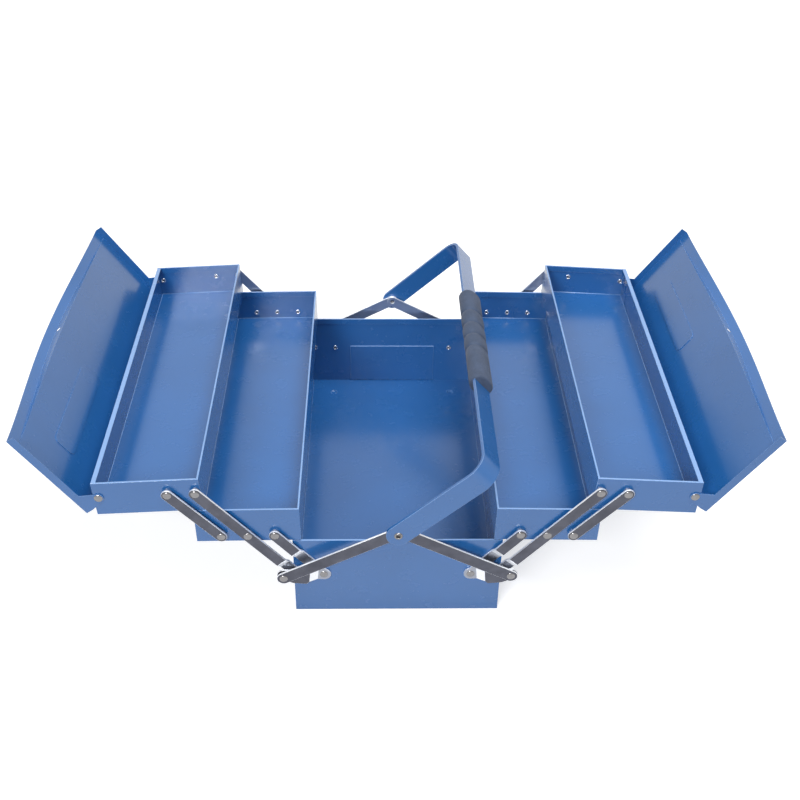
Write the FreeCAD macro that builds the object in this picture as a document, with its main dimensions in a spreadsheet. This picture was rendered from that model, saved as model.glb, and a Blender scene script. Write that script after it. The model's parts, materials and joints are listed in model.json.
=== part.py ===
import FreeCAD, Part
import math
import os
import re
import Sketcher

# Cantilever tool box, standing open on its base. Millimetres, +Z up, X across the trays, Y along them.
# The origin is on the ground under the middle of the base. The front end wall looks towards -Y.

# Driving sizes
# Every length can be set by itself. Angles are in degrees, and a name that ends in share is a part of
# the size it follows.

SIZES = [
    # Sheet and hems
    ("sheet_thick", 0.9),
    ("hem_depth", 7.0),
    ("flange_width", 4.5),
    # Base
    ("base_width", 200.0),
    ("box_length", 400.0),
    ("base_height", 92.0),
    ("foot_drop", 1.2),
    ("foot_radius", 5.0),
    ("foot_inset_x", 27.0),
    ("foot_inset_y", 28.0),
    ("press_depth", 0.9),
    ("press_width_share", 0.52),
    ("press_height_share", 0.55),
    # Trays
    ("centre_gap", 1.8),
    ("lower_tray_height", 38.0),
    ("upper_tray_height", 36.6),
    ("stack_gap", 0.4),
    # Pivots: the outer one from the base's side, the step between them, and their height under the rim
    ("pivot_inset", 4.0),
    ("pivot_step", 25.0),
    ("pivot_depth", 42.0),
    ("stage_run_share", 0.225),
    ("stage_rise", 51.6),
    # Sag of the open trays, outer side down: they come level as the box closes
    ("lower_sag", 0.95),
    ("upper_sag", 3.1),
    ("loop_play", 0.3),
    # Links
    ("link_width", 11.0),
    ("link_thick", 2.0),
    ("wall_gap", 0.4),
    ("head_gap", 0.5),
    ("slide_gap", 0.3),
    ("long_joggle", 18.5),
    ("crank_joggle", 35.0),
    ("joggle_run", 5.0),
    # Crank arm that carries the handle bars
    ("crank_reach", 38.45),
    ("crank_angle", 5.07),
    ("crank_arm_width", 13.0),
    ("crank_web_drop", 9.5),
    ("arm_joggle", 5.6),
    ("arm_joggle_run", 8.0),
    # Rivets and bushes
    ("rivet_radius", 2.5),
    ("hole_play", 0.05),
    ("end_play", 0.1),
    ("head_radius", 4.0),
    ("head_height", 1.0),
    ("head_top_share", 0.7),
    ("tail_radius", 3.0),
    ("tail_height", 0.8),
    # Handle
    ("handle_pivot_rise", 61.2),
    ("handle_bar_width", 12.6),
    ("handle_reach", 113.4),
    ("handle_wide", 23.0),
    ("handle_thick", 3.0),
    ("handle_bend", 20.0),
    ("handle_angle", 42.0),
    # Grip
    ("grip_wide", 26.5),
    ("grip_deep", 20.0),
    ("grip_length", 169.0),
    ("grip_shift", 5.0),
    ("groove_width", 2.4),
    ("groove_depth", 1.5),
    # Lids, measured from the hinge in the closed place
    ("lid_thick", 0.8),
    ("lid_end_gap", 0.2),
    ("lid_side_gap", 1.8),
    ("lid_centre_gap", 0.7),
    ("lid_hinge_inset", 4.6),
    ("lid_hinge_height", 19.8),
    ("lid_cover_gap", 3.2),
    ("lid_skirt_depth", 7.7),
    ("lid_end_skirt_depth", 8.0),
    ("lid_ear_radius", 5.0),
    ("lid_ear_reach", 12.0),
    ("lid_lip_width", 12.6),
    ("lid_lip_middle", 8.0),
    ("lid_lip_wall", 9.2),
    ("lid_lip_rise", 14.8),
    ("lid_open_angle", 122.0),
    ("lid_press_inset", 39.0),
    ("lid_press_shift", 90.0),
    ("lid_press_width", 25.0),
    ("lid_press_length", 124.0),
    ("lid_press_corner", 6.0),
    ("lid_press_depth", 0.8),
    ("padlock_radius", 2.9),
    ("padlock_height_share", 0.62),
]

# Grooves of the grip, as shares of its length from the front end
GROOVE_SHARES = (0.350, 0.484, 0.618, 0.762)

# Stations along the lid's lip, and the least part of its rise that is left at both ends
LIP_STATIONS = 25
LIP_END_SHARE = 0.03

# Worked-out sizes
WORKED = {
    "stage_run": "base_width * stage_run_share",
    "half_length": "box_length / 2",
    "half_width": "base_width / 2",
    "hem_thick": "2 * sheet_thick",
    "rim_z": "foot_drop + base_height",
    "lower_z": "rim_z + stack_gap",
    "upper_z": "lower_z + lower_tray_height + stack_gap",
    "a_z": "rim_z - pivot_depth",
    "b_z": "a_z + stage_rise",
    "c_z": "b_z + stage_rise",
    "a2_x": "half_width - pivot_inset",
    "a1_x": "a2_x - pivot_step",
    "b2_x": "a2_x + stage_run",
    "b1_x": "b2_x - inner_step",
    "b3_x": "b2_x + pivot_step",
    "c2_x": "b2_x + stage_run",
    "c3_x": "c2_x + outer_step",
    "inner_step": "2 * pivot_step * stage_run / "
                  "(stage_run - pivot_step + (stage_run + pivot_step) * cos(lower_sag) "
                  "- stage_rise * sin(lower_sag))",
    "outer_step": "((stage_run + pivot_step) ^ 2 + stage_rise ^ 2 - sag_run ^ 2 - sag_rise ^ 2) / "
                  "(2 * (stage_run + pivot_step + sag_run * cos(upper_sag) - sag_rise * sin(upper_sag)))",
    "sag_run": "stage_run - pivot_step * cos(lower_sag)",
    "sag_rise": "stage_rise + pivot_step * sin(lower_sag)",
    "open_b1_x": "b2_x - inner_step * cos(lower_sag)",
    "open_b1_z": "b_z + inner_step * sin(lower_sag)",
    "open_b3_x": "b2_x + pivot_step * cos(lower_sag)",
    "open_b3_z": "b_z - pivot_step * sin(lower_sag)",
    "open_c3_x": "c2_x + outer_step * cos(upper_sag)",
    "open_c3_z": "c_z - outer_step * sin(upper_sag)",
    "lift_run": "open_b1_x - a1_x",
    "lift_rise": "open_b1_z - a_z",
    "lift_length": "sqrt(lift_run ^ 2 + lift_rise ^ 2)",
    "lift_angle": "atan(lift_rise / lift_run)",
    "short_run": "open_c3_x - open_b3_x",
    "short_rise": "open_c3_z - open_b3_z",
    "short_length": "sqrt(short_run ^ 2 + short_rise ^ 2)",
    "short_angle": "atan(short_rise / short_run)",
    "tray_width": "half_width - centre_gap",
    "lower_x": "centre_gap + 2 * stage_run",
    "upper_x": "lower_x + 2 * stage_run",
    "stage_length": "sqrt(stage_run ^ 2 + stage_rise ^ 2)",
    "stage_angle": "atan(stage_rise / stage_run)",
    "layer_1": "wall_gap",
    "layer_2": "layer_1 + link_thick + head_gap",
    "layer_3": "layer_2 + link_thick + slide_gap",
    "layer_4": "layer_3 + link_thick + slide_gap",
    "layer_5": "layer_4 + link_thick + slide_gap",
    "layer_6": "layer_5 + link_thick + slide_gap",
    "hole_radius": "rivet_radius + hole_play",
    "d_x": "a1_x + crank_reach * cos(crank_angle)",
    "d_z": "a_z + crank_reach * sin(crank_angle)",
    "h_z": "a_z + handle_pivot_rise",
    "bar_length": "sqrt(d_x ^ 2 + (h_z - d_z) ^ 2)",
    "bar_angle": "atan((h_z - d_z) / d_x)",
    "handle_half": "half_length + layer_6 + handle_thick",
    "hinge_x": "upper_x + tray_width - lid_hinge_inset",
    "hinge_z": "upper_z + lid_hinge_height",
    "open_hinge_x": "c2_x + (hinge_x - c2_x) * cos(upper_sag) + (hinge_z - c_z) * sin(upper_sag)",
    "open_hinge_z": "c_z - (hinge_x - c2_x) * sin(upper_sag) + (hinge_z - c_z) * cos(upper_sag)",
    "lid_under": "upper_tray_height - lid_hinge_height + lid_cover_gap",
    "lid_over": "lid_under + lid_thick",
    "lid_outside": "lid_hinge_inset + lid_side_gap + lid_thick",
    "lid_free": "half_width - lid_hinge_inset - lid_centre_gap",
    "lid_half": "half_length + lid_end_gap",
    "lid_panel": "lid_free - lid_lip_width - lid_thick",
}

document = FreeCAD.newDocument("ToolBox")
sheet = document.addObject("Spreadsheet::Sheet", "Sizes")
for row, (alias, number) in enumerate(SIZES, start=1):
    sheet.set("A%d" % row, alias)
    sheet.set("B%d" % row, str(number))
    sheet.setAlias("B%d" % row, alias)
document.recompute()
ALIASES = {alias for alias, number in SIZES}


def formula(text):
    """Write a formula with the sheet's own cells, with the worked-out sizes put in."""
    def put_in(found):
        word = found.group(0)
        if word in WORKED:
            return "(" + formula(WORKED[word]) + ")"
        if word in ALIASES:
            return "Sizes." + word
        return word
    return re.sub(r"[a-z_][a-z_0-9]*", put_in, str(text))


def value(text):
    """The number that a formula gives."""
    result = sheet.evalExpression(formula(text))
    return float(getattr(result, "Value", result))


def bind(thing, field, text):
    thing.setExpression(field, formula(text))


def place(thing, x="0", y="0", z="0"):
    """Bind the place of an object."""
    bind(thing, "Placement.Base.x", x)
    bind(thing, "Placement.Base.y", y)
    bind(thing, "Placement.Base.z", z)
    return thing


def turn(thing, axis, degrees):
    """Give an object a fixed turn about one of the axes."""
    thing.Placement = FreeCAD.Placement(FreeCAD.Vector(), FreeCAD.Rotation(FreeCAD.Vector(*axis), degrees))
    return thing


# Solids

def box(x, y, z, wide, long, high):
    thing = document.addObject("Part::Box", "block")
    bind(thing, "Length", wide)
    bind(thing, "Width", long)
    bind(thing, "Height", high)
    return place(thing, x, y, z)


def rod(radius, x, y, z, long):
    """A cylinder along +Y from y."""
    thing = document.addObject("Part::Cylinder", "rod")
    bind(thing, "Radius", radius)
    bind(thing, "Height", long)
    turn(thing, (1, 0, 0), -90)
    return place(thing, x, y, z)


def plate(outline, y, long):
    """An outline in X and Z, pushed along +Y from y."""
    sketch = document.addObject("Sketcher::SketchObject", "outline")
    count = len(outline)
    corners = [FreeCAD.Vector(value(x), value(z), 0) for x, z in outline]
    for index in range(count):
        sketch.addGeometry(Part.LineSegment(corners[index], corners[(index + 1) % count]), False)
    for index in range(count):
        sketch.addConstraint(Sketcher.Constraint("Coincident", index, 2, (index + 1) % count, 1))
    for index, (x, z) in enumerate(outline):
        across = sketch.addConstraint(Sketcher.Constraint("DistanceX", -1, 1, index, 1, corners[index].x))
        bind(sketch, "Constraints[%d]" % across, x)
        up = sketch.addConstraint(Sketcher.Constraint("DistanceY", -1, 1, index, 1, corners[index].y))
        bind(sketch, "Constraints[%d]" % up, z)
    turn(sketch, (1, 0, 0), 90)
    bind(sketch, "Placement.Base.y", y)
    thing = document.addObject("Part::Extrusion", "plate")
    thing.Base = sketch
    thing.DirMode = "Custom"
    thing.Dir = FreeCAD.Vector(0, 1, 0)
    thing.Solid = True
    bind(thing, "LengthFwd", long)
    return thing


def strip(profile, high):
    """A side profile in X and Y, pushed both ways along Z to the full height."""
    sketch = document.addObject("Sketcher::SketchObject", "profile")
    count = len(profile)
    corners = [FreeCAD.Vector(value(x), value(y), 0) for x, y in profile]
    for index in range(count):
        sketch.addGeometry(Part.LineSegment(corners[index], corners[(index + 1) % count]), False)
    for index in range(count):
        sketch.addConstraint(Sketcher.Constraint("Coincident", index, 2, (index + 1) % count, 1))
    for index, (x, y) in enumerate(profile):
        across = sketch.addConstraint(Sketcher.Constraint("DistanceX", -1, 1, index, 1, corners[index].x))
        bind(sketch, "Constraints[%d]" % across, x)
        deep = sketch.addConstraint(Sketcher.Constraint("DistanceY", -1, 1, index, 1, corners[index].y))
        bind(sketch, "Constraints[%d]" % deep, y)
    thing = document.addObject("Part::Extrusion", "strip")
    thing.Base = sketch
    thing.DirMode = "Custom"
    thing.Dir = FreeCAD.Vector(0, 0, 1)
    thing.Solid = True
    thing.Symmetric = True
    bind(thing, "LengthFwd", high)
    return thing


def fuse(*things):
    whole = document.addObject("Part::MultiFuse", "fuse")
    whole.Shapes = list(things)
    return whole


def common(first, second):
    whole = document.addObject("Part::MultiCommon", "common")
    whole.Shapes = [first, second]
    return whole


def cut(body, tool):
    whole = document.addObject("Part::Cut", "cut")
    whole.Base = body
    whole.Tool = tool
    return whole


def group(things):
    """Separate solids that share one node."""
    whole = document.addObject("Part::Compound", "set")
    whole.Links = list(things)
    return whole


def mirrored(thing, normal):
    twin = document.addObject("Part::Mirroring", "mirrored")
    twin.Source = thing
    twin.Normal = FreeCAD.Vector(*normal)
    return twin


PARTS = []


def part(name, thing):
    """Name a finished sub-part and keep it for the checks and the files."""
    thing.Label = name
    PARTS.append(thing)
    return thing


def front_and_rear(name, thing):
    """Name a front piece and make its mirror image at the rear end."""
    part(name + "_front", thing)
    return part(name + "_rear", mirrored(thing, (0, 1, 0)))


def four(name, thing):
    """Name the right front piece and make the ones at the other three corners."""
    rear = front_and_rear("right_" + name, thing)
    part("left_%s_front" % name, mirrored(thing, (1, 0, 0)))
    part("left_%s_rear" % name, mirrored(rear, (1, 0, 0)))


def sag(thing, x, z, angle):
    """Turn a right-hand piece about a pivot so that its outer side goes down."""
    turn(thing, (0, 1, 0), 1)
    bind(thing, "Placement.Rotation.Angle", "%s * 1 deg" % angle)
    return place(thing,
                 "%s - %s * cos(%s) - %s * sin(%s)" % (x, x, angle, z, angle),
                 "0",
                 "%s + %s * sin(%s) - %s * cos(%s)" % (z, x, angle, z, angle))


def sag_lower(thing):
    return sag(thing, "b2_x", "b_z", "lower_sag")


def sag_upper(thing):
    return sag(thing, "c2_x", "c_z", "upper_sag")


def outward(distance):
    """The Y of a point that far in front of the front end wall."""
    return "-(half_length + %s)" % distance


# Pans and end walls

def pan(x, z, wide, high, flange=False):
    """Floor and two long walls with hems folded inward. The outer wall can end in a folded flange."""
    outer = "%s + %s" % (x, wide)
    top = "%s + %s" % (z, high)
    inner_hem = [
        ("%s + sheet_thick" % x, "%s + sheet_thick" % z),
        ("%s + sheet_thick" % x, "%s - hem_depth" % top),
        ("%s + hem_thick" % x, "%s - hem_depth" % top),
        ("%s + hem_thick" % x, top),
        (x, top),
        (x, z),
        (outer, z),
        (outer, top),
    ]
    if flange:
        outer_edge = [
            ("%s - flange_width" % outer, top),
            ("%s - flange_width" % outer, "%s - sheet_thick" % top),
            ("%s - sheet_thick" % outer, "%s - sheet_thick" % top),
        ]
    else:
        outer_edge = [
            ("%s - hem_thick" % outer, top),
            ("%s - hem_thick" % outer, "%s - hem_depth" % top),
            ("%s - sheet_thick" % outer, "%s - hem_depth" % top),
        ]
    corner = [("%s - sheet_thick" % outer, "%s + sheet_thick" % z)]
    return plate(inner_hem + outer_edge + corner, "-half_length + sheet_thick", "box_length - 2 * sheet_thick")


def end_wall(x, z, wide, high, edge, pivots):
    """Front end wall with its hem between the side hems, and a hole for each pivot."""
    wall = box(x, "-half_length", z, wide, "sheet_thick", high)
    hem = box("%s + hem_thick" % x, "-half_length + sheet_thick", "%s + %s - hem_depth" % (z, high),
              "%s - hem_thick - %s" % (wide, edge), "sheet_thick", "hem_depth")
    holes = [rod("hole_radius", px, "-half_length - head_gap", pz, "sheet_thick + 2 * head_gap")
             for px, pz in pivots]
    return cut(fuse(wall, hem), fuse(*holes))


def foot(x, y, radius, drop, top):
    """A dimple pressed down into the floor, narrower at its bottom."""
    thing = document.addObject("Part::Cone", "foot")
    bind(thing, "Radius1", "%s - %s" % (radius, drop))
    bind(thing, "Radius2", radius)
    bind(thing, "Height", drop)
    return place(thing, x, y, "%s - %s" % (top, drop))


def base():
    tub = pan("-half_width", "foot_drop", "base_width", "base_height")
    feet = []
    dimples = []
    for side in ("", "-"):
        for end in ("", "-"):
            spot = ("%s(half_width - foot_inset_x)" % side, "%s(half_length - foot_inset_y)" % end)
            feet.append(foot(*spot, "foot_radius", "foot_drop", "foot_drop"))
            dimples.append(foot(*spot, "foot_radius - sheet_thick", "foot_drop", "foot_drop + sheet_thick"))
    part("base_pan", cut(fuse(tub, *feet), fuse(*dimples)))
    pivots = [(side + spot, "a_z") for side in ("", "-") for spot in ("a1_x", "a2_x")]
    wall = end_wall("-half_width", "foot_drop", "base_width", "base_height", "hem_thick", pivots)
    wide = "base_width * press_width_share"
    high = "base_height * press_height_share"
    boss = box("-(%s) / 2" % wide, "-half_length + sheet_thick", "foot_drop + 2 * sheet_thick",
               wide, "press_depth", high)
    hollow = box("-(%s) / 2 + press_depth" % wide, "-half_length - press_depth",
                 "foot_drop + 2 * sheet_thick + press_depth",
                 "%s - 2 * press_depth" % wide, "2 * press_depth", "%s - 2 * press_depth" % high)
    part("base_end_panel_front", wall)
    part("base_end_panel_rear", mirrored(cut(fuse(wall, boss), hollow), (0, 1, 0)))


def trays():
    lower_pivots = [("b1_x", "b_z"), ("b2_x", "b_z"), ("b3_x", "b_z")]
    lower_pan = sag_lower(pan("lower_x", "lower_z", "tray_width", "lower_tray_height"))
    part("right_lower_tray_pan", lower_pan)
    part("left_lower_tray_pan", mirrored(lower_pan, (1, 0, 0)))
    four("lower_tray_end_panel", sag_lower(
        end_wall("lower_x", "lower_z", "tray_width", "lower_tray_height", "hem_thick", lower_pivots)))
    upper_pivots = [("c2_x", "c_z"), ("c3_x", "c_z"), ("hinge_x", "hinge_z")]
    upper_pan = sag_upper(pan("upper_x", "upper_z", "tray_width", "upper_tray_height", flange=True))
    part("right_upper_tray_pan", upper_pan)
    part("left_upper_tray_pan", mirrored(upper_pan, (1, 0, 0)))
    four("upper_tray_end_panel", sag_upper(
        end_wall("upper_x", "upper_z", "tray_width", "upper_tray_height", "flange_width", upper_pivots)))


# Rivets and bushes

def head(x, z, distance):
    """A flat-topped dome that stands outward from the given distance."""
    thing = document.addObject("Part::Cone", "head")
    bind(thing, "Radius1", "head_radius")
    bind(thing, "Radius2", "head_radius * head_top_share")
    bind(thing, "Height", "head_height")
    turn(thing, (1, 0, 0), 90)
    return place(thing, x, outward(distance), z)


def rivet(x, z, inner, outer, tail=True):
    """A rivet from one distance to another, its head outside and its tail spread inside."""
    shank = rod("rivet_radius", x, outward(outer), z, "%s - (%s)" % (outer, inner))
    solids = [shank, head(x, z, outer)]
    if tail:
        solids.append(rod("tail_radius", x, outward(inner), z, "tail_height"))
    return fuse(*solids)


def bush(x, z, inner, outer):
    """A plain spacer round a rivet."""
    ring = rod("head_radius", x, outward(outer), z, "%s - (%s)" % (outer, inner))
    bore = rod("hole_radius", x, outward(outer), z, "%s - (%s)" % (outer, inner))
    return cut(ring, bore)


def both_ends(things):
    """The pieces and their mirror images at the rear end, as one node."""
    front = group(things)
    return group([front, mirrored(front, (0, 1, 0))])


def rivets():
    inner = "-sheet_thick"
    low = "layer_1 + link_thick + end_play"
    high = "layer_2 + link_thick + end_play"
    base_rivets = group([rivet(side + spot, "a_z", inner, low)
                         for side in ("", "-") for spot in ("a1_x", "a2_x")])
    front_and_rear("base_pivot_rivets", base_rivets)
    lower = both_ends([rivet(spot, "b_z", inner, high) for spot in ("b1_x", "b2_x", "b3_x")])
    upper = both_ends([rivet(spot, "c_z", inner, high) for spot in ("c2_x", "c3_x")])
    hinge = both_ends([rivet("hinge_x", "hinge_z", inner, "lid_end_gap + lid_thick + end_play")])
    lower_bushes = both_ends([bush(spot, "b_z", "0", "layer_2 - end_play")
                              for spot in ("b1_x", "b2_x", "b3_x")])
    upper_bushes = both_ends([bush(spot, "c_z", "0", "layer_2 - end_play") for spot in ("c2_x", "c3_x")])
    for name, thing in (
        ("lower_tray_rivets", sag_lower(lower)),
        ("upper_tray_rivets", sag_upper(upper)),
        ("lid_hinge_rivets", sag_upper(hinge)),
        ("lower_tray_bushes", sag_lower(lower_bushes)),
        ("upper_tray_bushes", sag_upper(upper_bushes)),
    ):
        part("right_" + name, thing)
        part("left_" + name, mirrored(thing, (1, 0, 0)))
    part("right_bar_rivets", both_ends([
        rivet("d_x", "d_z", "layer_3", "layer_4 + link_thick + end_play", tail=False)]))
    left_bush = bush("-d_x", "d_z", "layer_3 + link_thick", "layer_5 - end_play")
    part("left_bar_bushes", both_ends([left_bush]))
    part("left_bar_rivets", both_ends([
        rivet("-d_x", "d_z", "layer_3", "layer_5 + link_thick + end_play", tail=False)]))
    part("handle_rivets", both_ends([
        rivet("0", "h_z", "layer_5", "layer_6 + handle_thick + end_play", tail=False)]))


# Links

def bar(x, z, degrees, reach, wide, holes, steps, loop=None):
    """A flat bar with round ends. Its first hole is at x and z, and it rises by the given angle.
    Each step is a place along the bar, and the layer that the bar's inner face has from there on.
    The hole that closes a loop of links has more play."""
    half = "%s / 2" % wide
    near = []
    far = []
    for spot, layer in steps:
        near.append((spot, outward(layer)))
        far.insert(0, (spot, outward("%s + link_thick" % layer)))
    blank = strip(near + far, wide)
    sleeve = "layer_6 + half_length"
    shape = fuse(
        box("0", "-(%s)" % sleeve, "-%s" % half, reach, sleeve, wide),
        rod(half, "0", "-(%s)" % sleeve, "0", sleeve),
        rod(half, reach, "-(%s)" % sleeve, "0", sleeve),
    )
    bores = fuse(*[rod("hole_radius + loop_play" if hole == loop else "hole_radius",
                       hole, "-(%s)" % sleeve, "0", sleeve) for hole in holes])
    thing = cut(common(blank, shape), bores)
    turn(thing, (0, 1, 0), -1)
    bind(thing, "Placement.Rotation.Angle", degrees)
    thing.Placement.Rotation.Axis = FreeCAD.Vector(0, -1, 0)
    return place(thing, x, "0", z)


def links():
    ends = "link_width / 2"
    four("long_link", bar("a2_x", "a_z", "stage_angle", "2 * stage_length", "link_width",
                          ("0", "stage_length", "2 * stage_length"),
                          [("-%s" % ends, "layer_1"), ("long_joggle", "layer_1"),
                           ("long_joggle + joggle_run", "layer_2"),
                           ("2 * stage_length + %s" % ends, "layer_2")]))
    four("short_link", bar("open_b3_x", "open_b3_z", "short_angle", "short_length", "link_width",
                           ("0", "short_length"),
                           [("-%s" % ends, "layer_2"), ("short_length + %s" % ends, "layer_2")],
                           loop="short_length"))
    lift_arm = bar("a1_x", "a_z", "lift_angle", "lift_length", "link_width", ("0", "lift_length"),
                   [("-%s" % ends, "layer_1"), ("crank_joggle", "layer_1"),
                    ("crank_joggle + joggle_run", "layer_2"), ("lift_length + %s" % ends, "layer_2")],
                   loop="lift_length")
    handle_arm = bar("a1_x", "a_z", "crank_angle", "crank_reach", "crank_arm_width", ("0", "crank_reach"),
                     [("-crank_arm_width / 2", "layer_1"), ("arm_joggle", "layer_1"),
                      ("arm_joggle + arm_joggle_run", "layer_3"),
                      ("crank_reach + crank_arm_width / 2", "layer_3")])
    start = "arm_joggle + arm_joggle_run"
    web = plate([(start, "0"), (start, "-crank_arm_width / 2"),
                 ("%s + crank_web_drop / 4" % start, "-crank_web_drop"),
                 ("crank_reach - crank_web_drop", "-crank_web_drop"),
                 ("crank_reach", "-crank_arm_width / 2"), ("crank_reach - head_radius", "0")],
                outward("layer_3 + link_thick"), "link_thick")
    turn(web, (0, 1, 0), -1)
    bind(web, "Placement.Rotation.Angle", "crank_angle")
    web.Placement.Rotation.Axis = FreeCAD.Vector(0, -1, 0)
    place(web, "a1_x", "0", "a_z")
    four("crank", fuse(lift_arm, handle_arm, web))


# Handle

def handle_bars():
    half = "handle_bar_width / 2"
    right = bar("d_x", "d_z", "180 deg - bar_angle", "bar_length", "handle_bar_width", ("0", "bar_length"),
                [("-%s" % half, "layer_4"), ("bar_length + %s" % half, "layer_4")])
    front_and_rear("right_handle_bar", right)
    left = bar("-d_x", "d_z", "bar_angle", "bar_length", "handle_bar_width", ("0", "bar_length"),
               [("-%s" % half, "layer_5"), ("bar_length + %s" % half, "layer_5")])
    front_and_rear("left_handle_bar", left)


def lean(thing):
    """Lean a piece of the handle, which is drawn with its arms along +X, to its resting side."""
    turn(thing, (0, 1, 0), -1)
    bind(thing, "Placement.Rotation.Angle", "handle_angle")
    thing.Placement.Rotation.Axis = FreeCAD.Vector(0, -1, 0)
    return place(thing, "0", "0", "h_z")


def bend():
    """Quarter ring between the front arm and the crossbar."""
    rings = []
    for radius in ("handle_bend", "handle_bend - handle_thick"):
        ring = document.addObject("Part::Cylinder", "ring")
        bind(ring, "Radius", radius)
        bind(ring, "Height", "handle_wide")
        ring.Angle = 90
        turn(ring, (0, 0, 1), -90)
        rings.append(place(ring, "handle_reach - handle_bend", "-handle_half + handle_bend",
                           "-handle_wide / 2"))
    return cut(*rings)


def handle():
    arm = fuse(
        box("0", "-handle_half", "-handle_wide / 2", "handle_reach - handle_bend", "handle_thick",
            "handle_wide"),
        rod("handle_wide / 2", "0", "-handle_half", "0", "handle_thick"),
        bend(),
    )
    crossbar = box("handle_reach - handle_thick", "-handle_half + handle_bend", "-handle_wide / 2",
                   "handle_thick", "2 * (handle_half - handle_bend)", "handle_wide")
    bore = rod("hole_radius", "0", "-handle_half", "0", "2 * handle_half")
    part("handle_frame", lean(cut(fuse(arm, mirrored(arm, (0, 1, 0)), crossbar), bore)))
    grip()


def oval(y, long, shrink):
    """An oval disc round the crossbar."""
    ring = document.addObject("Part::Ellipse", "oval")
    bind(ring, "MajorRadius", "grip_wide / 2 - %s" % shrink)
    bind(ring, "MinorRadius", "grip_deep / 2 - %s" % shrink)
    turn(ring, (1, 1, 1), -120)
    thing = document.addObject("Part::Extrusion", "bead")
    thing.Base = ring
    thing.DirMode = "Custom"
    thing.Dir = FreeCAD.Vector(0, 1, 0)
    thing.Solid = True
    bind(thing, "LengthFwd", long)
    return place(thing, "handle_reach - handle_thick / 2", y, "0")


def grip():
    """Foam sleeve of five segments with a groove between neighbours."""
    start = "grip_shift - grip_length / 2"
    edges = ["0"] + ["grip_length * %s" % share for share in GROOVE_SHARES] + ["grip_length"]
    core = oval(start, "grip_length", "groove_depth")
    beads = []
    for low, high in zip(edges, edges[1:]):
        beads.append(oval("%s + %s + groove_width / 2" % (start, low),
                          "%s - %s - groove_width" % (high, low), "0"))
    slot = box("handle_reach - handle_thick - end_play / 2", "-handle_half", "-handle_wide / 2 - end_play / 2",
               "handle_thick + end_play", "2 * handle_half", "handle_wide + end_play")
    part("handle_grip", lean(cut(fuse(core, *beads), slot)))


# Lids

def lip():
    """Free edge of a lid: a low bowed wall that swells to the middle, and a sloping strip on top of it."""
    free = -value("lid_free")
    width = value("lid_lip_width")
    middle = value("lid_lip_middle")
    top = value("lid_over")
    thick = value("lid_thick")
    wall = value("lid_lip_wall")
    rise = value("lid_lip_rise")
    half = value("lid_half")
    sections = []
    for station in range(LIP_STATIONS):
        share = station / (LIP_STATIONS - 1)
        bow = math.sin(math.pi * share) ** 1.5
        swell = LIP_END_SHARE + (1 - LIP_END_SHARE) * bow
        fold = free + width - (width - middle) * bow
        y = half * (2 * share - 1)
        outline = [
            (free + width + thick, top), (fold, top), (fold, top + wall * swell), (free, top + rise * swell),
            (free, top + rise * swell - thick), (fold - thick, top + wall * swell - thick),
            (fold - thick, top - thick), (free + width + thick, top - thick),
        ]
        corners = [FreeCAD.Vector(x, y, z) for x, z in outline]
        sections.append(Part.makePolygon(corners + corners[:1]))
    thing = document.addObject("Part::Feature", "lip")
    thing.Shape = Part.makeLoft(sections, True, True)
    return thing


def pressing(z, shrink):
    """Flat block with round corners, as wide as the lid's pressed panel less a margin all round."""
    wide = "(lid_press_width - 2 * %s)" % shrink
    long = "(lid_press_length - 2 * %s)" % shrink
    corner = "(lid_press_corner - %s)" % shrink
    solids = [
        box("-lid_press_inset - %s / 2 + %s" % (wide, corner), "lid_press_shift - %s / 2" % long, z,
            "%s - 2 * %s" % (wide, corner), long, "lid_press_depth"),
        box("-lid_press_inset - %s / 2" % wide, "lid_press_shift - %s / 2 + %s" % (long, corner), z,
            wide, "%s - 2 * %s" % (long, corner), "lid_press_depth"),
    ]
    for across in ("-", "+"):
        for along in ("-", "+"):
            post = document.addObject("Part::Cylinder", "corner")
            bind(post, "Radius", corner)
            bind(post, "Height", "lid_press_depth")
            solids.append(place(post, "-lid_press_inset %s (%s / 2 - %s)" % (across, wide, corner),
                                "lid_press_shift %s (%s / 2 - %s)" % (along, long, corner), z))
    return fuse(*solids)


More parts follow.
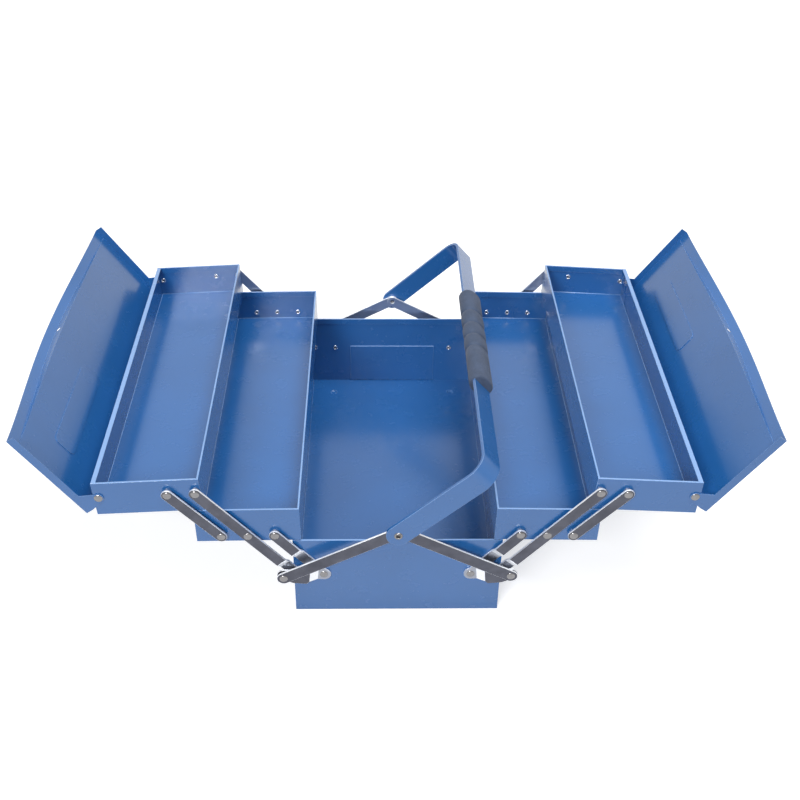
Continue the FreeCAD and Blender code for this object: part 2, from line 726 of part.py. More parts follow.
def lid():
    """Closed, with its hinge at the origin and its free edge towards -X, then swung open."""
    panel = box("-lid_panel", "-lid_half", "lid_under", "lid_panel + lid_outside", "2 * lid_half", "lid_thick")
    skirt = box("lid_outside - lid_thick", "-lid_half", "lid_over - lid_skirt_depth",
                "lid_thick", "2 * lid_half", "lid_skirt_depth")
    ear = fuse(
        plate([("lid_outside", "lid_over"), ("lid_outside", "lid_over - lid_skirt_depth"),
               ("lid_ear_radius", "0"), ("-lid_ear_radius", "0"),
               ("-lid_ear_reach", "lid_over - lid_end_skirt_depth"),
               ("-lid_free", "lid_over - lid_end_skirt_depth"), ("-lid_free", "lid_over")],
              "-lid_half - lid_thick", "lid_thick"),
        rod("lid_ear_radius", "0", "-lid_half - lid_thick", "0", "lid_thick"),
    )
    bore = rod("hole_radius", "0", "-lid_half - 2 * lid_thick", "0", "2 * lid_half + 4 * lid_thick")
    padlock = document.addObject("Part::Cylinder", "padlock")
    bind(padlock, "Radius", "padlock_radius")
    bind(padlock, "Height", "4 * lid_thick")
    turn(padlock, (0, 1, 0), 90)
    place(padlock, "-(lid_free - lid_lip_middle) - 2 * lid_thick", "0",
          "lid_over + lid_lip_wall * padlock_height_share")
    boss = pressing("lid_under - lid_press_depth", "0")
    hollow = pressing("lid_over - lid_press_depth", "lid_press_depth")
    sheet = cut(fuse(panel, skirt, ear, mirrored(ear, (0, 1, 0)), boss), fuse(bore, hollow))
    for name, thing in (("lid", sheet), ("lid_lip", cut(lip(), padlock))):
        turn(thing, (0, 1, 0), 1)
        bind(thing, "Placement.Rotation.Angle", "lid_open_angle + upper_sag")
        place(thing, "open_hinge_x", "0", "open_hinge_z")
        part("right_" + name, thing)
        part("left_" + name, mirrored(mirrored(thing, (1, 0, 0)), (0, 1, 0)))


base()
trays()
rivets()
links()
handle_bars()
handle()
lid()
document.recompute()

# Checks, then one file for each sub-part

for thing in document.Objects:
    if "Invalid" in thing.State or "Error" in thing.State:
        raise RuntimeError("%s failed: %s" % (thing.Label, thing.State))
for thing in PARTS:
    if thing.Shape.isNull() or not thing.Shape.isValid() or not thing.Shape.Solids:
        raise RuntimeError("%s has no valid solid" % thing.Label)

os.makedirs("parts", exist_ok=True)
for thing in PARTS:
    thing.Shape.exportStep(os.path.join("parts", thing.Label + ".step"))
print("%d sub-parts" % len(PARTS))
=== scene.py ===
# %% [markdown]
# # A cantilever tool box
#
# The real box is folded from thin sheet steel, coated blue and riveted. Four trays swing out to both
# sides on zinc-plated links, and two lids hinge on the upper trays. Its shapes come from a CAD model
# that is already packed with its joints, so this lesson loads that model as a fixed frame and gives
# every part the finish and the small forms that a CAD solid lacks: rounded sheet edges, turned rivets
# and a moulded foam grip.

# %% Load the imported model
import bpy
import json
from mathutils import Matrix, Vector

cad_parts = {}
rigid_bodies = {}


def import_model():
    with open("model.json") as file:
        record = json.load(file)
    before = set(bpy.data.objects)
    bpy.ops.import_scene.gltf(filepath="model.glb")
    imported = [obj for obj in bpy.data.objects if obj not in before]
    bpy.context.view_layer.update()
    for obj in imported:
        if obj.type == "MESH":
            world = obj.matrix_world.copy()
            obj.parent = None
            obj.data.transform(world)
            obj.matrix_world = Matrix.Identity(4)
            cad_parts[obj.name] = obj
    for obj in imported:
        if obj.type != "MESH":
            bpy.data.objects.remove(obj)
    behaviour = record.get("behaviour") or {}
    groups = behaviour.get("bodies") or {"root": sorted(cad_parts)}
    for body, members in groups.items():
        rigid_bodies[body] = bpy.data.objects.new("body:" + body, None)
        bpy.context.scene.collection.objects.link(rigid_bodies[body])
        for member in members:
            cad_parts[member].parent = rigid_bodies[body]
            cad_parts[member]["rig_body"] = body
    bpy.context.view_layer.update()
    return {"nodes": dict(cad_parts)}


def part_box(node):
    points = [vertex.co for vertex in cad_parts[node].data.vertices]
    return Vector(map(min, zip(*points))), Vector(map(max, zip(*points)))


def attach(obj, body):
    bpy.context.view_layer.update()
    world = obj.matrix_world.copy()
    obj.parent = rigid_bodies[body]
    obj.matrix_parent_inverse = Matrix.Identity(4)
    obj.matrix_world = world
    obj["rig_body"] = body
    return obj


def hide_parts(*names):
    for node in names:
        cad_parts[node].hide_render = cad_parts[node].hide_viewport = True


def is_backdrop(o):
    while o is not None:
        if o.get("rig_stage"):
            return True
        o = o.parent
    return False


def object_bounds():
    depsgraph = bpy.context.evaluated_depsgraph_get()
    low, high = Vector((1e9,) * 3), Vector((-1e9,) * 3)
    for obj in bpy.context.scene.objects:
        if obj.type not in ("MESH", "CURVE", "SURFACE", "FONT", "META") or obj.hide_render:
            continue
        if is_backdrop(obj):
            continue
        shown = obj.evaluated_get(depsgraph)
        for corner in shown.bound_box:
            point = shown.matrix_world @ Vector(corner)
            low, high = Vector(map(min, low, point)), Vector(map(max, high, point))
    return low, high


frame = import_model()

# %% Other modules, and short names for the frame
import json
import math

import bmesh
import bpy
from mathutils import Matrix, Vector

MM = 0.001
nodes = frame["nodes"]
body_of = {name: node["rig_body"] for name, node in nodes.items()}


def new_object(name, data):
    """A new object in the scene, for a mesh, a lamp or a camera."""
    made = bpy.data.objects.new(name, data)
    bpy.context.scene.collection.objects.link(made)
    return made


def new_piece(name):
    """A new object with an empty mesh of the same name."""
    return new_object(name, bpy.data.meshes.new(name))


# %% [markdown]
# ## The camera
#
# The photograph was taken from the front and above, a little to the left of the middle. Its
# perspective was worked out from the corners and rivets of the box, which gives a place, three angles
# and a lens. Aiming by eye would be quicker, but then the render wouldn't lie over the photograph.
# A new camera looks straight down. It is rolled about the lens's own axis, tilted up about X, and
# last turned a little about Z.

# %% Place the camera
PICTURE_PIXELS = 800
FOCAL_PIXELS = 1143.4
SENSOR_MM = 36
CAMERA_PLACE = Vector((-23.06, -1002.96, 835.3)) * MM
CAMERA_ROLL = math.radians(0.936)
CAMERA_TILT = math.radians(90 - 35.735)
CAMERA_TURN = math.radians(-1.63)

camera_data = bpy.data.cameras.new("photo_camera")
camera_data.sensor_width = SENSOR_MM
camera_data.lens = FOCAL_PIXELS / PICTURE_PIXELS * SENSOR_MM
camera_data.clip_end = 50
camera = new_object("photo_camera", camera_data)
turned = (Matrix.Rotation(CAMERA_TURN, 4, "Z") @ Matrix.Rotation(CAMERA_TILT, 4, "X")
          @ Matrix.Rotation(CAMERA_ROLL, 4, "Z"))
camera.matrix_world = Matrix.Translation(CAMERA_PLACE) @ turned
bpy.context.scene.camera = camera
print("lens", round(camera_data.lens, 2), "mm")

# %% [markdown]
# ## Nodes for materials
#
# Every material here is a small graph of nodes. Pictures wrapped round the parts would need an
# unwrapped mesh and would show their pixels up close, while noise follows any shape. A graph is
# easier to read as a few calls than as links drawn by hand, so one helper adds a node and joins its
# inputs in one step. Numbers that are the same all over a surface go straight into the shader.

# %% Helpers that build node graphs
def new_material(name):
    """An empty material, its node tree and its Principled shader."""
    material = bpy.data.materials.new(name)
    material.use_nodes = True
    tree = material.node_tree
    return material, tree, tree.nodes["Principled BSDF"]


def set_inputs(tree, node, inputs):
    """Set a node's inputs. Each is a number, a colour, or an output of another node."""
    for key, value in inputs.items():
        if isinstance(value, bpy.types.NodeSocket):
            tree.links.new(value, node.inputs[key])
        else:
            node.inputs[key].default_value = value


def add(tree, kind, inputs, **settings):
    """Add a node with its settings and inputs."""
    node = tree.nodes.new("ShaderNode" + kind)
    for key, value in settings.items():
        setattr(node, key, value)
    set_inputs(tree, node, inputs)
    return node


def maths(tree, operation, first, second=0.0):
    """The result of one sum, such as ADD or MULTIPLY."""
    return add(tree, "Math", {0: first, 1: second}, operation=operation).outputs[0]


def noise(tree, scale, detail=2.0, roughness=0.5, stretch=(1, 1, 1)):
    """Noise on Object coordinates, from 0 to 1. The scale is in features per metre."""
    place = add(tree, "TexCoord", {}).outputs["Object"]
    mapping = add(tree, "Mapping", {"Vector": place, "Scale": stretch})
    texture = add(tree, "TexNoise", {"Vector": mapping.outputs[0], "Scale": scale,
                                     "Detail": detail, "Roughness": roughness})
    return texture.outputs["Fac"]


def spread(tree, value, low, high, from_low=0.3, from_high=0.7):
    """Stretch a value from one range to another. Noise keeps mostly between 0.3 and 0.7."""
    return add(tree, "MapRange", {"Value": value, "From Min": from_low, "From Max": from_high,
                                  "To Min": low, "To Max": high}).outputs[0]


def blend_colours(tree, factor, first, second):
    """Mix two colours by a factor."""
    return add(tree, "Mix", {0: factor, 6: first, 7: second}, data_type="RGBA").outputs[2]


def cloudy(tree, clouds, colour, darkest, lightest):
    """A colour that wanders with a noise between a darker and a lighter share of itself."""
    darker, lighter = ([min(1, channel * share) for channel in colour] + [1]
                       for share in (darkest, lightest))
    return blend_colours(tree, spread(tree, clouds, 0, 1), darker, lighter)


def bump(tree, height, distance, strength):
    """A bumped normal from a height between 0 and 1. The distance is in metres."""
    return add(tree, "Bump", {"Height": height, "Distance": distance, "Strength": strength}).outputs[0]


print("node helpers for", bpy.app.version_string)

# %% [markdown]
# ## Blue powder coat
#
# Powder coat is a thick, even skin that is glossy but never quite flat: it has a faint orange-peel
# ripple, a slightly cloudy colour and a few dull patches where hands and tools have rubbed. A clear
# coat over the colour gives the soft, bright reflections of the trays in each other. The ripple is
# far thinner than the sheet, so it is a bump in the shading and not in the mesh. Along sheet edges,
# folds and the tops of walls the light catches in thin bright lines, and a paler copy of the coat
# paints that highlight in. That could be found by the shader, but the bevels already mark each edge,
# so their faces simply get the lighter, painted-highlight coat.

# %% Powder coat
BLUE = (0.015, 0.108, 0.325)
# A paler blue paints the highlights that light puts on edges, rims and corner beads.
HIGHLIGHT_BLUE = (0.19, 0.34, 0.62)
RIPPLE_HEIGHT = 0.04 * MM


def powder_coat(name, colour, rough):
    """Blue powder coat, with a ripple, cloudy colour and rubbed patches."""
    material, tree, shader = new_material(name)
    set_inputs(tree, shader, {
        "Base Color": cloudy(tree, noise(tree, 14, 3), colour, 0.95, 1.05),
        "Roughness": spread(tree, noise(tree, 45, 5, 0.6), rough * 0.94, rough * 1.1),
        "Coat Weight": 0.8,
        "Coat Roughness": 0.2,
        "Normal": bump(tree, noise(tree, 420, 1, 0.4), RIPPLE_HEIGHT, 0.07),
    })
    return material


paint = powder_coat("blue_powder_coat", BLUE, 0.26)
# The paler coat is a painted highlight, used on bevels, rims and beads.
painted_highlight_coat = powder_coat("blue_coat_on_edges", HIGHLIGHT_BLUE, 0.28)
print("coats", paint.name, painted_highlight_coat.name)

# %% [markdown]
# ## Zinc plate and rivet steel
#
# The links are stamped from strip and zinc plated. Their broad faces are a dull, cloudy grey. The
# sheared edges and the joggles get a bright, less metallic zinc instead: a painted highlight for the
# glints that light gives there. The mask for that is the direction that a surface faces: broad faces
# look along Y, edges and joggles don't. Faces that look inward, and those of the plates next to the
# trays, sit in shade between the plates and get a lighter zinc as painted light. The product of a
# face's Y and its normal's Y tells them apart: it is the distance from the middle of the box on faces
# that look outward, and negative on faces that look inward. It is compared with the place where the
# box ends, which is measured on an end panel. Fine scratches run through the grey.

# %% Metals
BOX_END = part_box("base_end_panel_rear")[1].y
# Inward faces, and faces closer to the box than this, get the lighter zinc as painted light.
LIGHTENED_BELOW = BOX_END + 1 * MM
OUTER_FROM = BOX_END + 4 * MM
EDGE_BELOW, BROAD_ABOVE = 0.90, 0.985
DULL_ZINC = (0.095, 0.099, 0.122)
# The lighter zinc paints light on shaded plates; the bright zinc paints the highlight on edges and joggles.
LIGHTENED_ZINC = (0.50, 0.53, 0.60, 1)
HIGHLIGHT_ZINC = (0.86, 0.88, 0.92, 1)


def zinc(name, rough):
    """Zinc plate: dull outside, painted light on sheltered faces, painted highlight on edges and joggles."""
    material, tree, shader = new_material(name)
    coordinates = add(tree, "TexCoord", {}).outputs
    facing = add(tree, "SeparateXYZ", {"Vector": coordinates["Normal"]}).outputs["Y"]
    place = add(tree, "SeparateXYZ", {"Vector": coordinates["Object"]}).outputs["Y"]
    outward = maths(tree, "MULTIPLY", facing, place)
    outer_faces = spread(tree, outward, 0, 1, LIGHTENED_BELOW, OUTER_FROM)
    highlight_mask = spread(tree, maths(tree, "ABSOLUTE", facing), 1, 0, EDGE_BELOW, BROAD_ABOVE)
    grey = cloudy(tree, noise(tree, 60, 4, 0.6), DULL_ZINC, 0.8, 1.2)
    # Outer faces keep the dull grey; sheltered ones take the lighter zinc, painted light.
    broad = blend_colours(tree, outer_faces, LIGHTENED_ZINC, grey)
    scratches = noise(tree, 900, 3, 0.7, (1, 1, 0.12))
    set_inputs(tree, shader, {
        # Edges and joggles get the bright zinc and a lower metallic, a painted highlight.
        "Base Color": blend_colours(tree, highlight_mask, broad, HIGHLIGHT_ZINC),
        "Metallic": spread(tree, highlight_mask, 1.0, 0.55, 0, 1),
        "Roughness": spread(tree, scratches, rough * 0.8, rough * 1.25),
        "Normal": bump(tree, noise(tree, 700, 3, 0.6), 0.06 * MM, 0.3),
    })
    return material


def turned_steel(name, colour, rough):
    """Bright turned steel with a little variation."""
    material, tree, shader = new_material(name)
    set_inputs(tree, shader, {
        "Base Color": cloudy(tree, noise(tree, 260, 3), colour, 0.85, 1.0),
        "Metallic": 1.0,
        "Roughness": spread(tree, noise(tree, 800), rough * 0.8, rough * 1.3),
        "Normal": bump(tree, noise(tree, 1500), 0.04 * MM, 0.25),
    })
    return material


link_zinc = zinc("zinc_on_links", 0.34)
# The same steel in two shades: darker on the outer heads, much lighter on the rolled inner ends as painted
# light.
rivet_steel = turned_steel("rivet_steel", (0.27, 0.265, 0.27), 0.2)
lit_rivet_steel = turned_steel("rolled_rivet_steel", (0.82, 0.83, 0.86), 0.2)
bush_zinc = turned_steel("bush_zinc", (0.50, 0.50, 0.52), 0.38)
print("box ends at", round(BOX_END / MM, 1), "mm; metals", link_zinc.name, rivet_steel.name,
      lit_rivet_steel.name, bush_zinc.name)

# %% [markdown]
# ## Grip foam
#
# The grip is a sleeve of closed-cell foam: dark grey, matt, with a fine skin of tiny pores and a
# faint powdery sheen where the light grazes it. The pores are much smaller than the grooves, so the
# grooves are modelled below and the pores are left to a bump.

# %% Foam
def foam(name, colour):
    """Matt closed-cell foam with fine pores."""
    material, tree, shader = new_material(name)
    set_inputs(tree, shader, {
        "Base Color": cloudy(tree, noise(tree, 90, 4, 0.6), colour, 0.82, 1.15),
        "Roughness": spread(tree, noise(tree, 400), 0.72, 0.9),
        "Sheen Weight": 0.1,
        "Sheen Roughness": 0.5,
        "Normal": bump(tree, noise(tree, 1700, 3, 0.7), 0.2 * MM, 0.6),
    })
    return material


grip_foam = foam("grip_foam", (0.042, 0.064, 0.114))
print("foam", grip_foam.name)

# %% [markdown]
# ## Sheet metal with rounded edges
#
# A CAD sheet ends in perfectly sharp corners, which catch no light. Real sheet has a small radius
# wherever it was sheared or folded. Each sheet part is therefore copied, its loose triangles are
# merged into clean faces, and a Bevel modifier rounds its edges. The rim faces, which look straight
# up from the top of a wall, and the rounded edges take the second material, which on painted parts
# is the paler coat with its painted highlight.
#
# Shading is smooth, but must stop at a crease. Beside a broad face even a slight fold counts as one,
# because smooth shading would bleed over the whole face.

# %% Round the edges of a sheet part
MERGE_WITHIN = 0.002 * MM
FLAT_WITHIN = math.radians(0.5)
FACES_UP = 0.95
RIM_LEAST_RISE = 25 * MM
BROAD_FACE = 300 * MM ** 2
CREASE_ON_BROAD, CREASE = math.radians(4), math.radians(20)
ROUNDED_FROM = math.radians(35)


def merged_copy(names, suffix):
    """A bmesh of CAD nodes with doubles merged and flat areas joined, and an empty piece to hold it."""
    shape = bmesh.new()
    for source in names:
        shape.from_mesh(nodes[source].data)
    bmesh.ops.remove_doubles(shape, verts=shape.verts, dist=MERGE_WITHIN)
    bmesh.ops.dissolve_limit(shape, angle_limit=FLAT_WITHIN, verts=shape.verts, edges=shape.edges)
    return shape, new_piece(names[0] + suffix)


def rounded_sheet(names, face_material, edge_material, radius, rims=False):
    """Stand in for CAD sheet parts with the same parts as one piece, its edges rounded."""
    shape, piece = merged_copy(names, "_sheet")
    piece.data.materials.append(face_material)
    piece.data.materials.append(edge_material)
    low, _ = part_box(names[0])
    for face in shape.faces:
        face.smooth = True
        lifted = face.calc_center_median().z > low.z + RIM_LEAST_RISE
        # Rim faces take the second material: on painted parts the painted-highlight coat.
        face.material_index = 1 if rims and lifted and face.normal.z > FACES_UP else 0
    for edge in shape.edges:
        broad = any(face.calc_area() > BROAD_FACE for face in edge.link_faces)
        edge.smooth = edge.calc_face_angle(math.pi) < (CREASE_ON_BROAD if broad else CREASE)
    shape.to_mesh(piece.data)
    shape.free()
    bevel = piece.modifiers.new("rounded edges", "BEVEL")
    bevel.width = radius
    bevel.segments = 2
    bevel.limit_method = "ANGLE"
    bevel.angle_limit = ROUNDED_FROM
    # Bevel faces take the second material too, the painted highlight on painted parts.
    bevel.material = 1
    bevel.harden_normals = True
    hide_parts(*names)
    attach(piece, body_of[names[0]])
    return piece


print("folds count as creases from", round(math.degrees(CREASE_ON_BROAD)), "degrees on broad faces")

# %% Trays, base, lids and handle
TRAY_EDGE, LID_EDGE, PLATE_EDGE, HANDLE_EDGE = 0.4 * MM, 0.3 * MM, 0.35 * MM, 0.9 * MM

for name in sorted(nodes):
    if name.endswith("_pan") or "_end_panel_" in name:
        piece = rounded_sheet([name], paint, painted_highlight_coat, TRAY_EDGE, rims=True)
    elif name.endswith("_lid"):
        piece = rounded_sheet([name, name + "_lip"], paint, painted_highlight_coat, LID_EDGE)
    elif name == "handle_frame":
        piece = rounded_sheet([name], paint, painted_highlight_coat, HANDLE_EDGE)
    elif "_link_" in name or "_crank_" in name or "_handle_bar_" in name:
        piece = rounded_sheet([name], link_zinc, link_zinc, PLATE_EDGE)
    else:
        continue
    print("rounded", piece.name, len(piece.data.polygons), "faces")

# %% [markdown]
# ## Beads in the corners
#
# Powder gathers where an end wall meets the floor of a pan, and melts into a small glossy bead. It
# takes the paler coat, a painted highlight, so from above it shows as a thin bright line. Two sheets
# that meet could be joined by a bevel in one mesh, but the end wall and the pan are separate parts,
# so a thin rod is laid half sunk along the corner.
# The floor is the largest face of a pan that looks up, and its corners at each end give the line.

# %% Corner beads
BEAD_RADIUS = 0.6 * MM
BEAD_SIDES = 16
SAME_END_WITHIN = 0.1 * MM


def corner_beads(name):
    """Two round beads, one along each end of a pan's floor."""
    shape, piece = merged_copy([name], "_beads")
    looking_up = [face for face in shape.faces if face.normal.z > FACES_UP]
    ground = max(looking_up, key=lambda face: face.calc_area())
    corners = [vertex.co.copy() for vertex in ground.verts]
    shape.clear()
    for end in (-1, 1):
        reach = max(end * corner.y for corner in corners) - SAME_END_WITHIN
        row = sorted((corner for corner in corners if end * corner.y > reach), key=lambda corner: corner.x)
        along = row[-1] - row[0]
        bead = bmesh.ops.create_cone(shape, cap_ends=True, segments=BEAD_SIDES, radius1=BEAD_RADIUS,
                                     radius2=BEAD_RADIUS, depth=along.length)["verts"]
        bmesh.ops.rotate(shape, verts=bead, matrix=along.to_track_quat("Z", "Y").to_matrix())
        bmesh.ops.translate(shape, verts=bead, vec=(row[0] + row[-1]) / 2)
    for face in shape.faces:
        face.smooth = len(face.verts) == 4
    shape.to_mesh(piece.data)
    shape.free()
    # The bead takes the painted-highlight coat.
    piece.data.materials.append(painted_highlight_coat)
    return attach(piece, body_of[name])


for name in sorted(nodes):
    if name.endswith("_pan"):
        print("beads", corner_beads(name).name)

# %% [markdown]
# ## Rivets
#
# Every pivot turns on a semi-tubular rivet: a low domed head outside and a rolled ring inside, where
# the hollow end was spread. Both could be squashed from spheres and rings, but a rivet is a turned
# part, so its half profile is drawn once and spun round the pivot's axis, which gives one closed
# skin. Each point of a profile is a radius and a depth in millimetres, and the depth counts from the
# rivet's outer end, or from its inner end for the two inner profiles.

# %% Rivet profiles and the spin
DOME = [(0, 0), (1.0, 0.03), (1.9, 0.13), (2.8, 0.34), (3.5, 0.64), (3.9, 0.9), (4.0, 1.0), (2.5, 1.0)]
EYELET = [(0, 2.6), (2.0, 2.5), (2.2, 0.8), (2.45, 0.25), (2.9, 0.02), (3.3, 0.1), (3.8, 0.5), (4.0, 1.0),
          (2.5, 1.0)]
ROLLED_END = [(2.5, 0.8), (2.95, 0.78), (3.05, 0.4), (2.85, 0.08), (2.4, 0), (1.9, 0.1), (1.55, 0.5),
              (1.4, 1.6), (0, 1.7)]
PLAIN_END = [(2.5, 0.1), (2.3, 0), (0, 0)]
SPIN_STEPS = 40
INNER_SIDE = BOX_END - 0.8 * MM
RIVET_CREASE = math.radians(50)


def islands(shape):
    """Lists of vertices that hang together, in the mesh's own order."""
    seen = set()
    for start in shape.verts:
        if start in seen:
            continue
        seen.add(start)
        island = [start]
        for vertex in island:
            for edge in vertex.link_edges:
                neighbour = edge.other_vert(vertex)
                if neighbour not in seen:
                    seen.add(neighbour)
                    island.append(neighbour)
        yield island


def spun(shape, profile, centre_x, outer_y, centre_z, inward):
    """Spin a half profile in millimetres round the Y axis through a pivot."""
    points = [shape.verts.new((centre_x + radius * MM, outer_y + inward * depth * MM, centre_z))
              for radius, depth in profile]
    lines = [shape.edges.new(pair) for pair in zip(points, points[1:])]
    bmesh.ops.spin(shape, geom=points + lines, axis=(0, 1, 0), cent=(centre_x, 0, centre_z),
                   angle=math.tau, steps=SPIN_STEPS, use_merge=True, use_duplicate=False)


def turned_rivets(name, outer_end, inner_end):
    """Stand in for a CAD node of rivets with turned ones at the same places."""
    plain = bmesh.new()
    plain.from_mesh(nodes[name].data)
    bmesh.ops.remove_doubles(plain, verts=plain.verts, dist=MERGE_WITHIN)
    shape = bmesh.new()
    for island in islands(plain):
        low, high = ([pick(vertex.co[axis] for vertex in island) for axis in range(3)] for pick in (min, max))
        outer, inner = (low[1], high[1]) if low[1] < 0 else (high[1], low[1])
        length = abs(inner - outer) / MM
        inward = 1 if inner > outer else -1
        profile = outer_end + [(radius, length - depth) for radius, depth in inner_end]
        spun(shape, profile, (low[0] + high[0]) / 2, outer, (low[2] + high[2]) / 2, inward)
    plain.free()
    bmesh.ops.remove_doubles(shape, verts=shape.verts, dist=MERGE_WITHIN)
    bmesh.ops.recalc_face_normals(shape, faces=shape.faces)
    for face in shape.faces:
        face.smooth = True
        # Inner ends take the lighter steel, painted light; outer heads take the darker copy.
        face.material_index = 1 if abs(face.calc_center_median().y) < INNER_SIDE else 0
    piece = new_piece(name + "_turned")
    shape.to_mesh(piece.data)
    shape.free()
    piece.data.set_sharp_from_angle(angle=RIVET_CREASE)
    piece.data.materials.append(rivet_steel)
    piece.data.materials.append(lit_rivet_steel)
    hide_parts(name)
    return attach(piece, body_of[name])


print("rivet heads", 2 * max(radius for radius, _ in DOME), "mm wide")

# %% Turn the rivets and finish the bushes
for name in sorted(nodes):
    if "_rivets" in name:
        outer = EYELET if name == "handle_rivets" else DOME
        inner = PLAIN_END if "bar_rivets" in name or name == "handle_rivets" else ROLLED_END
        print("turned", turned_rivets(name, outer, inner).name)
    elif "_bushes" in name:
        nodes[name].data.materials.clear()
        nodes[name].data.materials.append(bush_zinc)
        print("plated", name)

# %% [markdown]
# ## The foam grip
#
# The grip is a foam sleeve with three finger beads between two longer ends. It could be sculpted, but
# its section is the same all along and only its depth changes, which a row of numbers says exactly.
# It starts as one ring, which is extruded along the crossbar station by station and then drawn into a
# squarish oval at each one. A station only says how far along it is and how deep the foam is cut in
# there, so a groove is a few stations close together. The last step leans the grip like the handle.

# %% Stations and the oval section
GRIP_WIDE, GRIP_DEEP = 26.5, 20.0
GRIP_LEAN = math.radians(42)
GRIP_CREASE = math.radians(60)
GRIP_SIDES = 48
SQUARE_POWER = 2.3
GROOVES = (-20.35, 2.3, 24.94, 49.28)
GROOVE_DEPTH, GROOVE_HALF = 1.7, 1.5
GROOVE_CUT = ((-2.2, 0.08), (-1.2, 0.35), (-0.5, 0.85), (0, 1), (0.5, 0.85), (1.2, 0.35), (2.2, 0.08))
END_ROUND = ((0.0, 2.0), (0.3, 1.1), (0.9, 0.4), (1.8, 0.1), (2.8, 0.0))
END_EDGE = 4
BEAD_SWELL, SWELL_HALF = 0.25, 5
PLAIN_STATIONS = (25, 12)


def grip_stations(start, end):
    """Pairs of a place along the grip and the depth that the foam is cut in there, in millimetres."""
    places = [(start + along, depth) for along, depth in END_ROUND]
    previous = start + END_EDGE
    for groove in GROOVES:
        middle = (previous + groove) / 2
        swell = 0.0 if groove == GROOVES[0] else -BEAD_SWELL
        places += [(middle - SWELL_HALF, swell / 2), (middle, swell), (middle + SWELL_HALF, swell / 2)]
        places += [(groove + GROOVE_HALF * share, GROOVE_DEPTH * cut) for share, cut in GROOVE_CUT]
        previous = groove
    places += [(end - along, 0.0) for along in PLAIN_STATIONS]
    places += [(end - along, depth) for along, depth in END_ROUND]
    return sorted(places)


def set_ring(verts, along, depth):
    """Give a ring of vertices the grip's squarish oval at one station."""
    for vertex in verts:
        flat = Vector((vertex.co.x, 0, vertex.co.z)).normalized()
        across, up = (math.copysign(abs(part) ** (2 / SQUARE_POWER), part) for part in (flat.x, flat.z))
        vertex.co = Vector((across * (GRIP_DEEP / 2 - depth), along, up * (GRIP_WIDE / 2 - depth))) * MM


low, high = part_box("handle_grip")
centre = (low + high) / 2
stations = grip_stations(low.y / MM, high.y / MM)
print("grip", len(stations), "stations,", round(stations[-1][0] - stations[0][0], 1), "mm long")

# %% Build the grip
shape = bmesh.new()
ring = bmesh.ops.create_circle(shape, segments=GRIP_SIDES, radius=1.0, cap_ends=False)["verts"]
bmesh.ops.rotate(shape, verts=ring, matrix=Matrix.Rotation(math.pi / 2, 3, "X"))
edges = shape.edges[:]
rings = [ring]
for _ in stations[1:]:
    grown = bmesh.ops.extrude_edge_only(shape, edges=edges)["geom"]
    rings.append([item for item in grown if isinstance(item, bmesh.types.BMVert)])
    edges = [item for item in grown if isinstance(item, bmesh.types.BMEdge)
             and all(vertex in rings[-1] for vertex in item.verts)]
for verts, (along, depth) in zip(rings, stations):
    set_ring(verts, along, depth)
for end in (rings[0], rings[-1]):
    bmesh.ops.contextual_create(shape, geom=[edge for edge in shape.edges if edge.is_boundary
                                             and all(vertex in end for vertex in edge.verts)])
bmesh.ops.recalc_face_normals(shape, faces=shape.faces)
bmesh.ops.rotate(shape, verts=shape.verts, matrix=Matrix.Rotation(-GRIP_LEAN, 3, "Y"))
bmesh.ops.translate(shape, verts=shape.verts, vec=(centre.x, 0, centre.z))
for face in shape.faces:
    face.smooth = True
grip = new_piece("foam_grip")
shape.to_mesh(grip.data)
shape.free()
grip.data.set_sharp_from_angle(angle=GRIP_CREASE)
grip.data.materials.append(grip_foam)
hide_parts("handle_grip")
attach(grip, "handle")
print("grip", len(grip.data.polygons), "faces")

# %% [markdown]
# ## The stage
#
# The box stands on a plain white floor under a soft, even light, as in a catalogue. The floor is
# diffuse, so it keeps the shadow, and for the camera and for reflections it also glows a little, so
# that it reads as white. Far from the box, where the lamps no longer reach, the glow rises until the
# floor meets the sky unseen. The lamps stay at a plain level: a colour renders about as it is written.

# %% Floor
FLOOR_HALF = 6
FLOOR_GREY = (0.60, 0.60, 0.60, 1)
FLOOR_GLOW_NEAR, FLOOR_GLOW_FAR, FLOOR_GLOW_MIRRORED = 0.7, 1.0, 0.45
NEAR, FAR = 1.0, 3.0


def mirrored_ray(tree, ray):
    """1 for a ray that a glossy or a clear surface sent on, otherwise 0."""
    return maths(tree, "MAXIMUM", ray.outputs["Is Glossy Ray"], ray.outputs["Is Transmission Ray"])


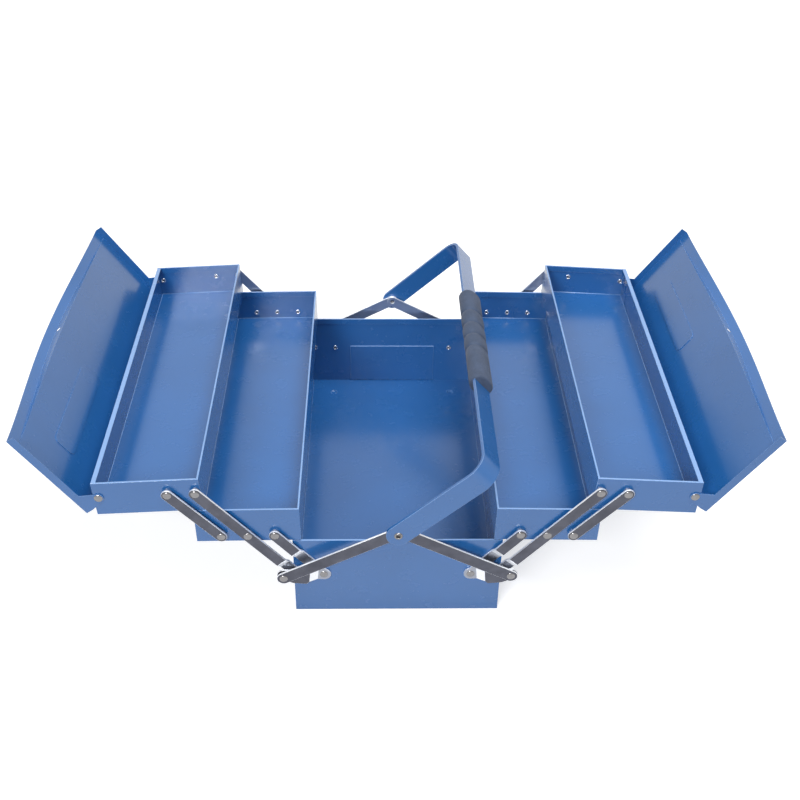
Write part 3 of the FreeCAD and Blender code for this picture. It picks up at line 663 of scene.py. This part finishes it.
def white_floor():
    """White floor that keeps the shadow and glows a little for the camera and reflections."""
    material, tree, shader = new_material("white_floor")
    tree.nodes.remove(shader)
    ray = add(tree, "LightPath", {})
    place = add(tree, "TexCoord", {}).outputs["Object"]
    away = add(tree, "VectorMath", {0: place}, operation="LENGTH").outputs["Value"]
    seen = spread(tree, away, FLOOR_GLOW_NEAR, FLOOR_GLOW_FAR, NEAR, FAR)
    direct = maths(tree, "MULTIPLY", ray.outputs["Is Camera Ray"], seen)
    fainter = maths(tree, "MULTIPLY", mirrored_ray(tree, ray), FLOOR_GLOW_MIRRORED)
    strength = maths(tree, "MAXIMUM", direct, fainter)
    diffuse = add(tree, "BsdfDiffuse", {"Color": FLOOR_GREY})
    glow = add(tree, "Emission", {"Color": (1, 1, 1, 1), "Strength": strength})
    both = add(tree, "AddShader", {0: diffuse.outputs[0], 1: glow.outputs[0]})
    set_inputs(tree, tree.nodes["Material Output"], {"Surface": both.outputs[0]})
    return material


shape = bmesh.new()
bmesh.ops.create_grid(shape, x_segments=1, y_segments=1, size=FLOOR_HALF)
floor = new_piece("floor")
shape.to_mesh(floor.data)
shape.free()
floor.data.materials.append(white_floor())
floor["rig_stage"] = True
print("floor", 2 * FLOOR_HALF, "m wide")

# %% World and lamps
SKY_FILL, SKY_MIRRORED = 0.15, 0.9
LAMP_TARGET = Vector((0, 0, 0.1))


def softbox(name, place, size, watts):
    """A square area lamp that looks at the box."""
    data = bpy.data.lights.new(name, "AREA")
    data.size = size
    data.energy = watts
    lamp = new_object(name, data)
    lamp.location = place
    lamp.rotation_euler = (LAMP_TARGET - Vector(place)).to_track_quat("-Z", "Y").to_euler()
    return lamp


world = bpy.data.worlds.new("soft_sky")
bpy.context.scene.world = world
world.use_nodes = True
tree = world.node_tree
ray = add(tree, "LightPath", {})
reflected = spread(tree, mirrored_ray(tree, ray), SKY_FILL, SKY_MIRRORED, 0, 1)
level = maths(tree, "MAXIMUM", ray.outputs["Is Camera Ray"], reflected)
set_inputs(tree, tree.nodes["Background"], {"Color": (1, 1, 1, 1), "Strength": level})
for lamp in (softbox("key", (-0.9, -2.4, 1.7), 0.9, 60), softbox("top", (0.45, -0.3, 2.5), 1.7, 64)):
    print("lamp", lamp.name, lamp.data.energy, "W")

# %% View settings and the visual box
bpy.context.scene.view_settings.view_transform = "Standard"
low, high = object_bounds()
print("visual box", tuple(low), tuple(high))
